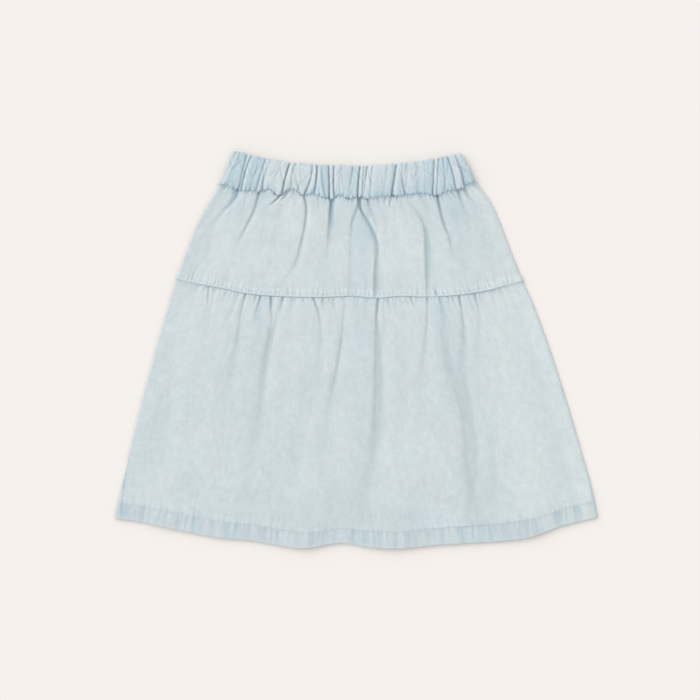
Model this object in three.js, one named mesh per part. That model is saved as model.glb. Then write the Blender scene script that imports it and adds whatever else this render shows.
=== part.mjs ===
// A child's pull-on denim skirt, laid flat on its back with the front uppermost.
//
// It is two rings of cloth and a casing, each with a front and a back half: an elasticated
// waistband, a smooth upper tier gathered into it, and a fuller lower tier gathered into the upper
// one and finished with a turned hem. The halves meet at the side folds and lie on each other.
//
// Millimetres. +X runs across the laid skirt, +Y from the hem to the waist, +Z off the surface it
// lies on. The origin is on that surface, under the middle of the skirt's outline.

import * as THREE from "three";

// Driving sizes.
const CLOTH = 1.2; // wall of one panel
const CASING = 4.0; // wall of the waistband: an outer and an inner cloth round the elastic
const HEM = 1.9; // wall of the turned hem, three cloths pressed together
const LAID_GAP = 0.6; // air between front and back where they lie flat
const CASING_GAP = 0.8; // air between the two halves of the waistband
const SEAM_GAP = 0.3; // between two pieces that are sewn together
const FLAT = 2 * CLOTH + LAID_GAP; // top of the front panel where both layers lie flat
const BAND_TOP = 2 * CASING + CASING_GAP; // top of the waistband at its side folds
const HEM_TOP = 2 * HEM + LAID_GAP; // top of the hem at its side folds
const GATHER_SHOULDER = 1.4; // columns beside a fold stand this many half-widths from it
const LOWEST_FOLD = 2 * CLOTH + SEAM_GAP; // a fold of the front that lies on the back
const SEWN = SEAM_GAP / 2; // each piece's share of the gap at a seam
const SLOPE_STEP = 0.2; // half the step over which a slope is taken
const QUARTER = Math.PI / 2; // a quarter turn

// Rows of numbers with named columns.
const table = (names, rows) =>
  rows.map((row) => Object.fromEntries(names.map((name, i) => [name, row[i]])));

const clamp01 = (value) => Math.min(1, Math.max(0, value));
const mix = (a, b, t) => a + (b - a) * t;
const smoothstep = (low, high, value) => {
  const t = clamp01((value - low) / (high - low));
  return t * t * (3 - 2 * t);
};

// A smooth curve v(u) through a table's points, with each tangent taken from its neighbours. It
// runs straight on beyond both ends.
function smoothCurve(points, u, v) {
  const slopes = points.map((point, i) => {
    const before = points[Math.max(0, i - 1)];
    const after = points[Math.min(points.length - 1, i + 1)];
    return (after[v] - before[v]) / (after[u] - before[u]);
  });
  return (asked) => {
    const at = Math.min(points.at(-1)[u], Math.max(points[0][u], asked));
    let i = 0;
    while (i < points.length - 2 && at > points[i + 1][u]) i += 1;
    const span = points[i + 1][u] - points[i][u];
    const t = (at - points[i][u]) / span;
    const beyond = (asked - at) * (asked < at ? slopes[0] : slopes.at(-1));
    const t2 = t * t;
    const t3 = t2 * t;
    return (
      beyond +
      points[i][v] * (2 * t3 - 3 * t2 + 1) +
      points[i + 1][v] * (3 * t2 - 2 * t3) +
      span * (slopes[i] * (t3 - 2 * t2 + t) + slopes[i + 1] * (t3 - t2))
    );
  };
}

// The lines that cross the skirt, from the waist down.
const across = (rows) => smoothCurve(table(["x", "y"], rows), "x", "y");

const waistEdge = across([
  [-137, 217.6], [-131.5, 218.4], [-109.5, 213.4], [-88.6, 209], [-61, 205.7], [-11.6, 203.5],
  [22.6, 203.5], [49, 205.7], [75.4, 209], [97.4, 213.4], [116, 216.7],
]);
const waistSeam = across([
  [-150.2, 182.6], [-139, 180], [-129.3, 175.8], [-105, 172.7], [-79.8, 169.6], [-50, 169],
  [-25.9, 167], [5, 166.1], [32.5, 168.1], [60, 170], [88.6, 170.4], [109.5, 174.6],
  [121.6, 180], [131.5, 185.2],
]);
const tierSeam = across([
  [-196.9, 77.6], [-176.6, 72.8], [-149, 67.5], [-121.6, 61.8], [-94, 58.9], [-39, 57.3],
  [-3.9, 58.7], [22.6, 56.5], [49, 58.7], [76.5, 57.9], [115, 60], [142.5, 64.4],
  [164.5, 70.2], [182.6, 75],
]);
const hemLine = across([
  [-261.5, -168.3], [-226, -172.9], [-187.6, -180.4], [-149, -188], [-110.6, -192.8],
  [-77.6, -198.7], [-52.3, -201], [-17, -196.6], [18.2, -199.5], [49, -199.9], [93, -196],
  [159, -191.4], [197.5, -184.8], [230.5, -174.6], [262.2, -166.1],
]);
const hemEdge = across([
  [-266.8, -185.6], [-237, -189.4], [-193, -198.8], [-149, -206.8], [-116, -209.8],
  [-83, -215.4], [-55.6, -218.3], [-17, -212.6], [18.2, -217.4], [49, -218.6], [93, -214.4],
  [159, -210.7], [192, -206.1], [225, -194.2], [265.7, -184.4],
]);

// The two side folds, from the hem up.
const side = (rows) => smoothCurve(table(["y", "x"], rows), "y", "x");

const leftFold = side([
  [-185.6, -266.8], [-154, -259.8], [-121, -250.8], [-77, -240.4], [-33, -228.9], [11, -216.9],
  [55, -204.2], [77.6, -196.9], [99, -189.6], [121, -181.2], [143, -172], [165, -159.6],
  [182.6, -150.2], [199, -144.2], [217.6, -137],
]);
const rightFold = side([
  [-184.4, 265.7], [-154, 258.9], [-121, 249.4], [-77, 236.6], [-33, 223], [11, 208.4],
  [55, 191.8], [75, 182.6], [99, 172.6], [121, 164.2], [143, 156], [165, 146],
  [185.2, 131.5], [199, 125.4], [216.7, 116],
]);

// How far the left side seam has rolled onto the front, measured along the cloth.
const SEAM_ROLL = { startsAt: 0.785, atHemLine: 7, atHemEdge: 9.4 };

// Folds. Each runs down a piece from its upper edge: its x at the upper edge, half way and the lower
// edge, its depth at the gathers, the share of the piece's height over which that fades to the soft
// depth that stays, and its half-width at either end.
const FOLD_COLUMNS = ["top", "middle", "low", "depth", "reach", "soft", "width", "softWidth"];

const UPPER_FRONT_FOLDS = table(FOLD_COLUMNS, [
  [-130, -162, -182, 2.2, 0.45, 0.5, 3.5, 9],
  [-108, -131, -148, 1.9, 0.45, 0.1, 2.6, 6],
  [-81, -98, -104, 1.6, 0.12, 0.2, 2.4, 9],
  [-57, -60, -79, 2.0, 0.55, 0.9, 2.6, 5],
  [-26, -30.5, -33, 2.4, 0.42, 0.4, 2.6, 8],
  [-1, -6.5, -8.5, 1.9, 0.3, 0.6, 2.4, 4],
  [8, 22, 20.5, 2.5, 0.6, 1.6, 2.8, 4],
  [38, 41, 46, 1.6, 0.12, 0.1, 2.4, 8],
  [54, 75, 77.5, 1.0, 0.3, 1.4, 3.5, 4],
  [88.6, 102, 112, 2.2, 0.5, 0.2, 2.4, 5],
  [111, 128, 140, 1.8, 0.25, 0.3, 3.0, 9],
]);
const LOWER_FRONT_FOLDS = table(FOLD_COLUMNS, [
  [-162, -180, -196, 1.0, 0.08, 0.2, 2.6, 12],
  [-121, -138, -152, 1.2, 0.2, 0.5, 2.6, 12],
  [-105, -122, -133, 1.2, 0.15, 0.3, 2.4, 12],
  [-94, -104, -112, 1.8, 0.12, 1.2, 2.4, 9],
  [-79.5, -88, -93, 1.6, 0.1, 0.3, 2.4, 12],
  [-46, -39, -44, 1.5, 0.12, 0.4, 2.6, 12],
  [-11.5, -27, -36, 1.4, 0.1, 1.0, 3.2, 7],
  [24.5, 21.5, 10, 2.2, 0.14, 1.6, 2.8, 10],
  [61, 64, 66, 1.0, 0.05, 0.1, 2.4, 12],
  [78.5, 72, 66.5, 1.2, 0.25, 0.5, 2.6, 10],
  [93, 116, 122, 1.3, 0.2, 1.3, 3.2, 11],
  [113, 118.5, 126, 1.7, 0.16, 0.3, 2.4, 10],
  [131, 146, 158, 1.6, 0.12, 0.2, 2.4, 12],
]);
// Grooves between the waistband's gathers, each with its depth at the folded edge and at the seam.
const GROOVE_COLUMNS = ["top", "middle", "low", "topDepth", "lowDepth", "width"];

const BAND_FRONT_GROOVES = table(GROOVE_COLUMNS, [
  [-119.4, -126.5, -131.8, 2.2, 2.4, 1.7],
  [-114.4, -122.2, -127.6, 2.4, 2.2, 1.6],
  [-105, -112.8, -117.4, 1.6, 1.4, 2],
  [-98, -105.4, -110, 2.0, 1.6, 1.7],
  [-93, -101.2, -103.4, 2.2, 2.4, 1.6],
  [-72, -78.7, -81.4, 2.9, 2.7, 2],
  [-65, -70.4, -73, 1.6, 0.6, 1.8],
  [-58.5, -63.4, -63.2, 0.3, 1.8, 2],
  [-48.4, -50.4, -56.4, 2.4, 2.4, 1.8],
  [-42.6, -43.8, -47, 2.8, 2.0, 1.8],
  [-36.6, -37.2, -35, 1.6, 2.0, 1.7],
  [-30.3, -30.6, -29.4, 2.6, 2.7, 1.7],
  [-23.9, -25.5, -23.9, 2.4, 2.4, 1.7],
  [-16, -19.6, -17.8, 1.0, 0.8, 2.2],
  [-2.8, -5.5, -9.4, 1.8, 0.8, 2.2],
  [4.2, 2.4, 1.0, 2.2, 2.2, 1.5],
  [9, 6.8, 6.4, 1.8, 1.8, 1.4],
  [14.6, 11.4, 11.4, 2.4, 0.5, 1.5],
  [20.6, 17.8, 17.2, 1.8, 1.0, 1.8],
  [34.5, 33.8, 33.6, 2.0, 0.3, 1.9],
  [42.4, 40.7, 39.2, 2.9, 2.7, 2.1],
  [51.4, 50.6, 54, 0.8, 2.2, 1.8],
  [57.4, 56.4, 60.4, 1.6, 0.4, 1.8],
  [68.4, 68.6, 68.4, 0.8, 1.2, 2.3],
  [74.6, 76, 76.4, 1.4, 0.8, 2],
  [84.8, 84, 84, 2.2, 2.4, 1.7],
  [90.4, 89.7, 90.8, 2.6, 2.4, 1.7],
  [96.8, 97.6, 99.4, 2.5, 1.8, 1.7],
  [102, 104.8, 108.6, 2.3, 2.3, 1.7],
  [107, 111.4, 116.6, 2.2, 2.6, 1.7],
]);

// The back waistband is gathered as evenly as the front, with the grooves between 7 and 15 apart.
const BAND_BACK = { from: -118, to: 104, grooves: 22, spread: 3.2, lean: 0.1, depth: 1.5 };
const BAND_BACK_GROOVES = Array.from({ length: BAND_BACK.grooves }, (_, i) => {
  const even = mix(BAND_BACK.from, BAND_BACK.to, i / (BAND_BACK.grooves - 1));
  const top = even + BAND_BACK.spread * Math.sin(2.4 * i);
  const outward = BAND_BACK.lean * even;
  return {
    top,
    middle: top + 0.6 * outward,
    low: top + outward + 0.5 * BAND_BACK.spread * Math.sin(3.9 * i),
    topDepth: BAND_BACK.depth * (1 + 0.3 * Math.sin(1.7 * i)),
    lowDepth: BAND_BACK.depth * (1 + 0.3 * Math.cos(2.9 * i)),
    width: 2,
  };
});

// Broad rises of the front's lower edge, where its fullness stands off the back.
const HEM_RISES = table(["x", "height", "width"], [
  [-214, 0.9, 30],
  [-150, 0.7, 20],
  [-58, 1.6, 26],
  [40, 1.7, 34],
  [112, 0.6, 22],
  [196, 1.1, 26],
]);
const hemRise = (x) =>
  HEM_RISES.reduce((sum, { x: middle, height, width }) => {
    const off = (x - middle) / width;
    return sum + height * Math.exp(-off * off);
  }, 0);

// The depth and half-width of a fold or a groove at the share t of its piece's height.
const foldDepth = (fold, t) =>
  "topDepth" in fold
    ? mix(fold.topDepth, fold.lowDepth, t)
    : mix(fold.depth, fold.soft, smoothstep(0, fold.reach, t));
const foldWidth = (fold, t) =>
  "topDepth" in fold ? fold.width : mix(fold.width, fold.softWidth, smoothstep(0, 2 * fold.reach, t));

// How deep all the folds of a piece cut at a point, where centres holds each fold's x in that row.
function foldsAt(piece, centres, x, t) {
  return piece.folds.reduce((sum, fold, i) => {
    const off = (x - centres[i]) / foldWidth(fold, t);
    return sum + foldDepth(fold, t) * Math.exp(-off * off);
  }, 0);
}

// The outer face of the laid tube beside a side fold, which is half a circle. reach is measured
// along the cloth from the middle of the fold, towards the front where it is positive. x counts
// inwards from the fold; out points away from the cloth, and along the way that reach grows.
function besideFold(reach, radius) {
  const angle = Math.max(-QUARTER, Math.min(QUARTER, reach / radius));
  const [sine, cosine] = [Math.sin(angle), Math.cos(angle)];
  const pastArc = Math.abs(reach - angle * radius);
  return {
    x: radius * (1 - cosine) + pastArc,
    z: radius * (1 + sine),
    out: [-cosine, sine],
    along: [sine, cosine],
  };
}

// The columns of a piece beside a side fold, as [x, z, inner x, inner z], x counting inwards. The
// first stands at the side seam and the last one edgeReach from the fold.
function edgeColumns(piece, seamReach, radius) {
  const facing = piece.face === "front" ? 1 : -1;
  const arc = QUARTER * radius;
  const turnEnd = facing > 0 ? seamReach + arc : -arc;
  const reaches = [];
  for (let i = 0; i <= piece.turnSteps; i += 1) {
    reaches.push(mix(seamReach, turnEnd, i / piece.turnSteps));
  }
  reaches.push(facing * piece.edgeReach);
  return reaches.map((reach, i) => {
    const at = besideFold(reach, radius);
    const apart = i === 0 ? facing * SEWN : 0;
    const x = at.x + apart * at.along[0];
    const z = at.z + apart * at.along[1];
    return [x, z, x - at.out[0] * piece.wall, z - at.out[1] * piece.wall];
  });
}

// The x of a fold in row t, from its share of the way across at three heights.
function trackAcross(piece, fold) {
  const share = (x, t) => {
    const [left, right] = sidesAt(piece, t);
    return (x - left) / (right - left);
  };
  const [top, middle, low] = [share(fold.top, 0), share(fold.middle, 0.5), share(fold.low, 1)];
  return (t) => {
    const [left, right] = sidesAt(piece, t);
    const here = top * (1 - t) * (1 - 2 * t) + middle * 4 * t * (1 - t) + low * t * (2 * t - 1);
    return mix(left, right, here);
  };
}

// The x of a piece's two side folds in row t.
function sidesAt(piece, t) {
  const [leftTop, rightTop] = piece.upper.ends;
  const [leftLow, rightLow] = piece.lower.ends;
  return [leftFold(mix(leftTop, leftLow, t)), rightFold(mix(rightTop, rightLow, t))];
}

// The height of a piece's outer face along row t, between the columns of its two edges.
function heightAcross(piece, centres, start, end, t) {
  const level = piece.face === "front" ? piece.sideTop(t) : 0;
  return (x) => {
    const inside = smoothstep(0, piece.fadeIn, x - start) * smoothstep(0, piece.fadeIn, end - x);
    const cut = piece.foldFade(t) * foldsAt(piece, centres, x, t);
    if (piece.face === "back") return inside * cut;
    return level + inside * (Math.max(piece.lowest, level + piece.lift(t, x) - cut) - level);
  };
}

// The outer and inner points of one row of a piece, as [x, z], from its left side to its right.
function rowOfPoints(piece, t) {
  const [left, right] = sidesAt(piece, t);
  const radius = piece.sideTop(t) / 2;
  const facing = piece.face === "front" ? 1 : -1;
  const thickness = piece.thickness(t);
  const points = [];
  const add = (x, z, innerX, innerZ) =>
    points.push({
      outer: [mix(innerX, x, thickness), mix(innerZ, z, thickness)],
      inner: [innerX, innerZ],
    });

  for (const [x, z, innerX, innerZ] of edgeColumns(piece, piece.seamRoll(t), radius)) {
    add(left + x, z, left + innerX, innerZ);
  }
  const inset = radius + piece.edgeReach - QUARTER * radius;
  const start = left + inset;
  const end = right - inset;
  const centres = piece.tracks.map((track) => track(t));
  const height = heightAcross(piece, centres, start, end, t);
  for (const x of columnsBetween(piece, centres, start, end, t)) {
    const z = height(x);
    const slope = (height(x + SLOPE_STEP) - height(x - SLOPE_STEP)) / (2 * SLOPE_STEP);
    const innerZ = piece.plainInside
      ? height(start) - facing * piece.wall
      : z - facing * piece.wall * Math.sqrt(1 + slope * slope);
    add(x, z, x, innerZ);
  }
  for (const [x, z, innerX, innerZ] of edgeColumns(piece, 0, radius).reverse()) {
    add(right - x, z, right - innerX, innerZ);
  }
  return points;
}

// Where a row's columns stand: at the bottom and both shoulders of each fold, and evenly between.
function columnsBetween(piece, centres, start, end, t) {
  const stops = [{ x: start, width: 0 }];
  piece.folds.forEach((fold, i) => stops.push({ x: centres[i], width: foldWidth(fold, t) }));
  stops.push({ x: end, width: 0 });
  const columns = [];
  for (let i = 0; i + 1 < stops.length; i += 1) {
    const [here, next] = [stops[i], stops[i + 1]];
    const room = (next.x - here.x) / 3;
    if (i > 0) columns.push(here.x);
    const from = i > 0 ? here.x + Math.min(GATHER_SHOULDER * here.width, room) : here.x;
    const to = i + 2 < stops.length ? next.x - Math.min(GATHER_SHOULDER * next.width, room) : next.x;
    const between = piece.between[i];
    const first = i > 0 ? 0 : 1;
    const last = i + 2 < stops.length ? between + 1 : between;
    for (let k = first; k <= last; k += 1) columns.push(mix(from, to, k / (between + 1)));
  }
  return columns;
}

// A closed wall between the outer and the inner grid of a piece.
function wallGeometry(piece) {
  const grid = piece.rows.map((t) => rowOfPoints(piece, t));
  const count = grid[0].length;
  const rowCount = grid.length;
  const position = [];
  for (const face of ["outer", "inner"]) {
    grid.forEach((row, r) => {
      row.forEach((point, c) => {
        const [x, z] = point[face];
        const top = piece.upper.curve(grid[0][c][face][0]) - piece.upper.gap;
        const low = piece.lower.curve(grid[rowCount - 1][c][face][0]) + piece.lower.gap;
        position.push(x, mix(top, low, piece.rows[r]), z);
      });
    });
  }

  const index = [];
  const front = piece.face === "front";
  const quad = (a, b, c, d) => {
    if (front) index.push(a, b, c, a, c, d);
    else index.push(a, c, b, a, d, c);
  };
  const inner = rowCount * count;
  const at = (r, c) => r * count + c;
  for (let r = 0; r + 1 < rowCount; r += 1) {
    for (let c = 0; c + 1 < count; c += 1) {
      quad(at(r, c), at(r + 1, c), at(r + 1, c + 1), at(r, c + 1));
      quad(inner + at(r, c), inner + at(r, c + 1), inner + at(r + 1, c + 1), inner + at(r + 1, c));
    }
    quad(at(r + 1, 0), at(r, 0), inner + at(r, 0), inner + at(r + 1, 0));
    const end = count - 1;
    quad(at(r, end), at(r + 1, end), inner + at(r + 1, end), inner + at(r, end));
  }
  for (let c = 0; c + 1 < count; c += 1) {
    const bottom = rowCount - 1;
    quad(at(0, c), at(0, c + 1), inner + at(0, c + 1), inner + at(0, c));
    quad(at(bottom, c + 1), at(bottom, c), inner + at(bottom, c), inner + at(bottom, c + 1));
  }
  const geometry = new THREE.BufferGeometry();
  geometry.setAttribute("position", new THREE.Float32BufferAttribute(position, 3));
  geometry.setIndex(index);
  geometry.computeVertexNormals();
  return geometry;
}

// A crossing line, its gap to the piece on the other side and the y of its two ends.
const line = (curve, gap, left, right) => ({ curve, gap, ends: [left, right] });
const WAIST_EDGE = line(waistEdge, 0, 217.6, 216.7);
const WAIST_SEAM = line(waistSeam, SEWN, 182.6, 185.2);
const TIER_SEAM = line(tierSeam, SEWN, 77.6, 75);
const HEM_LINE = line(hemLine, SEWN, -168.3, -166.1);
const HEM_EDGE = line(hemEdge, 0, -185.6, -184.4);

// The height of the laid cloth at the side folds, down each piece.
const WAIST_TOP = 4.6; // the upper tier where it is sewn to the waistband
const upperSideTop = (t) => mix(WAIST_TOP, FLAT, smoothstep(0, 0.35, t));
const lowerSideTop = (t) => mix(FLAT, HEM_TOP, smoothstep(0.9, 1, t));

// How far the front stands above that between its folds.
const bandLift = (t) => 1.1 * Math.sin(Math.PI * clamp01(mix(0.12, 0.95, t)));
const upperLift = (t) => 1.8 + 1.4 * smoothstep(0.85, 1, t);
const lowerLift = (t, x) =>
  mix(2.4, 1.8, smoothstep(0, 0.5, t)) * mix(1, 0.1, smoothstep(0.8, 1, t)) +
  hemRise(x) * smoothstep(0.6, 1, t);

const shared = {
  turnSteps: 3,
  edgeReach: 7,
  fadeIn: 9,
  lowest: LOWEST_FOLD,
  folds: [],
  seamRoll: () => 0,
  thickness: () => 1,
  foldFade: () => 1,
};
const bandShape = {
  ...shared,
  upper: WAIST_EDGE,
  lower: WAIST_SEAM,
  wall: CASING,
  plainInside: true,
  turnSteps: 4,
  edgeReach: 8,
  fadeIn: 5,
  sideTop: () => BAND_TOP,
  lift: bandLift,
  // the folded upper edge is rounded, and the seam draws the casing thinner
  thickness: (t) => mix(0.42, 1, Math.sqrt(clamp01(t / 0.12))) * mix(1, 0.74, smoothstep(0.8, 1, t)),
};
const upperShape = {
  ...shared,
  upper: WAIST_SEAM,
  lower: TIER_SEAM,
  wall: CLOTH,
  sideTop: upperSideTop,
  lift: upperLift,
};
const lowerShape = {
  ...shared,
  upper: TIER_SEAM,
  lower: HEM_LINE,
  wall: CLOTH,
  sideTop: lowerSideTop,
  lift: lowerLift,
  foldFade: (t) => 1 - 0.75 * smoothstep(0.7, 1, t),
  turnSteps: 5,
  edgeReach: 14,
  seamRoll: (t) => SEAM_ROLL.atHemLine * clamp01((t - SEAM_ROLL.startsAt) / (1 - SEAM_ROLL.startsAt)),
};
const hemShape = {
  ...shared,
  upper: HEM_LINE,
  lower: HEM_EDGE,
  wall: HEM,
  sideTop: () => HEM_TOP,
  lift: (t, x) => 0.2 + hemRise(x),
  turnSteps: 5,
  edgeReach: 14,
  seamRoll: (t) => mix(SEAM_ROLL.atHemLine, SEAM_ROLL.atHemEdge, t),
  thickness: (t) => mix(1, 0.5, smoothstep(0.8, 1, t)),
};

const denim = (color) => new THREE.MeshStandardMaterial({ color, roughness: 0.92, metalness: 0 });
const WASHED = denim(0xcdd9dd);
const BAND_BLUE = denim(0xc3d2d8);
const HEM_BLUE = denim(0xc5d2d7);

// Where the side seam rolls over, the front and the back share their rows.
const ROLL_ROWS = [SEAM_ROLL.startsAt, 0.82, 0.87, 0.93, 1];

const PIECES = [
  { name: "waistband_front", face: "front", ...bandShape, folds: BAND_FRONT_GROOVES,
    rows: [0, 0.05, 0.25, 0.8, 1], spacing: 40, material: BAND_BLUE },
  { name: "waistband_back", face: "back", ...bandShape, folds: BAND_BACK_GROOVES,
    rows: [0, 0.05, 0.25, 1], spacing: 40, material: BAND_BLUE },
  { name: "upper_tier_front", face: "front", ...upperShape, folds: UPPER_FRONT_FOLDS,
    rows: [0, 0.07, 0.18, 0.33, 0.5, 0.7, 0.88, 1], spacing: 9, material: WASHED },
  { name: "upper_tier_back", face: "back", ...upperShape,
    rows: [0, 0.12, 0.3, 0.6, 1], spacing: 9, material: WASHED },
  { name: "lower_tier_front", face: "front", ...lowerShape, folds: LOWER_FRONT_FOLDS,
    rows: [0, 0.05, 0.12, 0.22, 0.36, 0.54, ...ROLL_ROWS], spacing: 11, material: WASHED },
  { name: "lower_tier_back", face: "back", ...lowerShape,
    rows: [0, 0.25, 0.54, ...ROLL_ROWS], spacing: 10, material: WASHED },
  { name: "hem_front", face: "front", ...hemShape,
    rows: [0, 0.8, 1], spacing: 8, material: HEM_BLUE },
  { name: "hem_back", face: "back", ...hemShape,
    rows: [0, 0.8, 1], spacing: 10, material: HEM_BLUE },
];

// Adds to a piece the tracks of its folds and how many columns stand between each pair of them.
function prepare(piece) {
  const tracks = piece.folds.map((fold) => trackAcross(piece, fold));
  const [left, right] = sidesAt(piece, 0.5);
  const stops = [left, ...tracks.map((track) => track(0.5)), right];
  const between = stops.slice(1).map((x, i) => Math.max(1, Math.round((x - stops[i]) / piece.spacing) - 1));
  return { ...piece, tracks, between };
}

const skirt = new THREE.Group();
for (const piece of PIECES) {
  const mesh = new THREE.Mesh(wallGeometry(prepare(piece)), piece.material);
  mesh.name = piece.name;
  skirt.add(mesh);
}

// The outline's middle goes over the origin.
const middle = new THREE.Box3().setFromObject(skirt).getCenter(new THREE.Vector3());
for (const mesh of skirt.children) mesh.geometry.translate(-middle.x, -middle.y, 0);

export default skirt;
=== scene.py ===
"""A child's pull-on denim skirt laid flat, front uppermost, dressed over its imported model.

Every length below is in millimetres in the skirt's own frame, +X across, +Y to the waist and +Z off
the surface it lies on, until the meshes are made in metres. Each panel is a fine grid of rows, from
its upper edge down, and columns, from its left side fold to its right one.
"""
import math
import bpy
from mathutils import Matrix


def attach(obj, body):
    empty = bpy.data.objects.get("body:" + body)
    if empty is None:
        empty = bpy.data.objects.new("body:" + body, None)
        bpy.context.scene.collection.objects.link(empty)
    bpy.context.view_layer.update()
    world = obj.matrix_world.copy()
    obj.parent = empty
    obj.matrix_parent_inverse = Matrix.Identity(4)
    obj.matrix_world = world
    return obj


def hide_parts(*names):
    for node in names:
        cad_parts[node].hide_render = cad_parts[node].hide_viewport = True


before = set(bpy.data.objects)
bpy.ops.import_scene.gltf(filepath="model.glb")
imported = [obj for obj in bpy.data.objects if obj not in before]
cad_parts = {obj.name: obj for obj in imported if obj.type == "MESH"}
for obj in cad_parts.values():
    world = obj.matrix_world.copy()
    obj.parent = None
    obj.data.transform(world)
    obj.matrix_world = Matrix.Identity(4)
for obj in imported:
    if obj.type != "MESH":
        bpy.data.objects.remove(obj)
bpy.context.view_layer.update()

from types import SimpleNamespace

import bpy
import numpy as np

MM = 0.001
CLOTH = 0.9  # one layer of cloth
CASING = 4.0  # two layers of cloth round the elastic
HEM = 1.9  # the hem's three layers
FLAT = 3.0  # the front's height where both panels lie flat
BAND_TOP = 8.8  # the waistband's height at its side folds
HEM_TOP = 4.4  # the hem's height at its side folds
FRONT = 1
BACK = -1

# ---- curves and tables ----


def smooth_curve(points):
    """A smooth function through (u, v) points, which runs straight on beyond both ends."""
    u, v = np.array(sorted(points), dtype=float).T
    slope = np.empty_like(v)
    slope[1:-1] = (v[2:] - v[:-2]) / (u[2:] - u[:-2])
    slope[0] = (v[1] - v[0]) / (u[1] - u[0])
    slope[-1] = (v[-1] - v[-2]) / (u[-1] - u[-2])

    def at(asked):
        inside = np.clip(asked, u[0], u[-1])
        i = np.clip(np.searchsorted(u, inside, side="right") - 1, 0, len(u) - 2)
        span = u[i + 1] - u[i]
        t = (inside - u[i]) / span
        value = v[i] * (2 * t**3 - 3 * t**2 + 1) + v[i + 1] * (3 * t**2 - 2 * t**3)
        value += span * (slope[i] * (t**3 - 2 * t**2 + t) + slope[i + 1] * (t**3 - t**2))
        beyond = asked - inside
        return value + beyond * np.where(beyond < 0, slope[0], slope[-1])

    return at


def mix(a, b, t):
    return a + (b - a) * t


def smoothstep(low, high, value):
    t = np.clip((value - low) / (high - low), 0, 1)
    return t * t * (3 - 2 * t)


def bell(distance, width):
    """1 at no distance, fading out smoothly both ways."""
    return np.exp(-((distance / width) ** 2))


def hump(value, middle, width):
    return bell(value - middle, width)


def fade_out(distance, reach):
    """1 at an edge, fading out away from it."""
    return np.exp(-np.maximum(distance, 0) / reach)


def line_across(points):
    """A line across the skirt through (x, y) points, the first and the last at the side folds."""
    return SimpleNamespace(y_at=smooth_curve(points), left_y=points[0][1], right_y=points[-1][1])


WAIST_EDGE = line_across([
    (-137, 217.6), (-131.5, 218.4), (-109.5, 213.4), (-88.6, 209), (-61, 205.7), (-11.6, 203.5),
    (22.6, 203.5), (49, 205.7), (75.4, 209), (97.4, 213.4), (116, 216.7),
])
# The casing's lower edge, scalloped where the elastic draws its gathers up.
WAIST_SEAM = line_across([
    (-150.2, 182.6), (-142, 180.4), (-134.8, 177.2), (-128.2, 175), (-115, 174.2), (-102.9, 173.8),
    (-96.9, 176), (-92.2, 174.2), (-88.6, 170.2), (-80.9, 170.2), (-77.1, 174.6), (-67.7, 175.6),
    (-62.8, 172.4), (-60, 169.5), (-52.5, 170.2), (-44.9, 170), (-33.6, 166.8), (-24, 165.8),
    (-18.4, 170), (-12.7, 166.8), (-7.2, 165.3), (0.6, 167.5), (6.1, 167.4), (10, 165.8),
    (21.5, 167), (32.5, 168.5), (51.7, 168.9), (61, 170.1), (70.7, 171.4), (78.2, 170.4),
    (85.8, 168.9), (93, 170.4), (102.9, 174.1), (112.3, 176), (116.1, 176), (121.6, 179.9),
    (131.5, 185.2),
])
TIER_SEAM = line_across([
    (-196.9, 77.6), (-176.6, 72.8), (-149, 67.5), (-121.6, 61.8), (-94, 58.9), (-39, 57.3),
    (-3.9, 58.7), (22.6, 56.5), (49, 58.7), (76.5, 57.9), (115, 60), (142.5, 64.4),
    (164.5, 70.2), (182.6, 75),
])
HEM_LINE = line_across([
    (-261.5, -168.3), (-226, -172.9), (-187.6, -180.4), (-149, -188), (-110.6, -192.8),
    (-77.6, -198.7), (-52.3, -201), (-17, -196.6), (18.2, -199.5), (49, -199.9), (93, -196),
    (159, -191.4), (197.5, -184.8), (230.5, -174.6), (262.2, -166.1),
])
HEM_EDGE = line_across([
    (-266.8, -185.6), (-237, -189.4), (-193, -198.8), (-149, -206.8), (-116, -209.8),
    (-83, -215.4), (-55.6, -218.3), (-17, -212.6), (18.2, -217.4), (49, -218.6), (93, -214.4),
    (159, -210.7), (192, -206.1), (225, -194.2), (265.7, -184.4),
])

# The two side folds, (y, x).
LEFT_FOLD = smooth_curve([
    (-185.6, -266.8), (-154, -259.8), (-121, -250.8), (-77, -240.4), (-33, -228.9), (11, -216.9),
    (55, -204.2), (77.6, -196.9), (99, -189.6), (121, -181.2), (143, -172), (165, -159.6),
    (182.6, -150.2), (199, -144.2), (217.6, -137),
])
RIGHT_FOLD = smooth_curve([
    (-184.4, 265.7), (-154, 258.9), (-121, 249.4), (-77, 236.6), (-33, 223), (11, 208.4),
    (55, 191.8), (75, 182.6), (99, 172.6), (121, 164.2), (143, 156), (165, 146),
    (185.2, 131.5), (199, 125.4), (216.7, 116),
])

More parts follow.
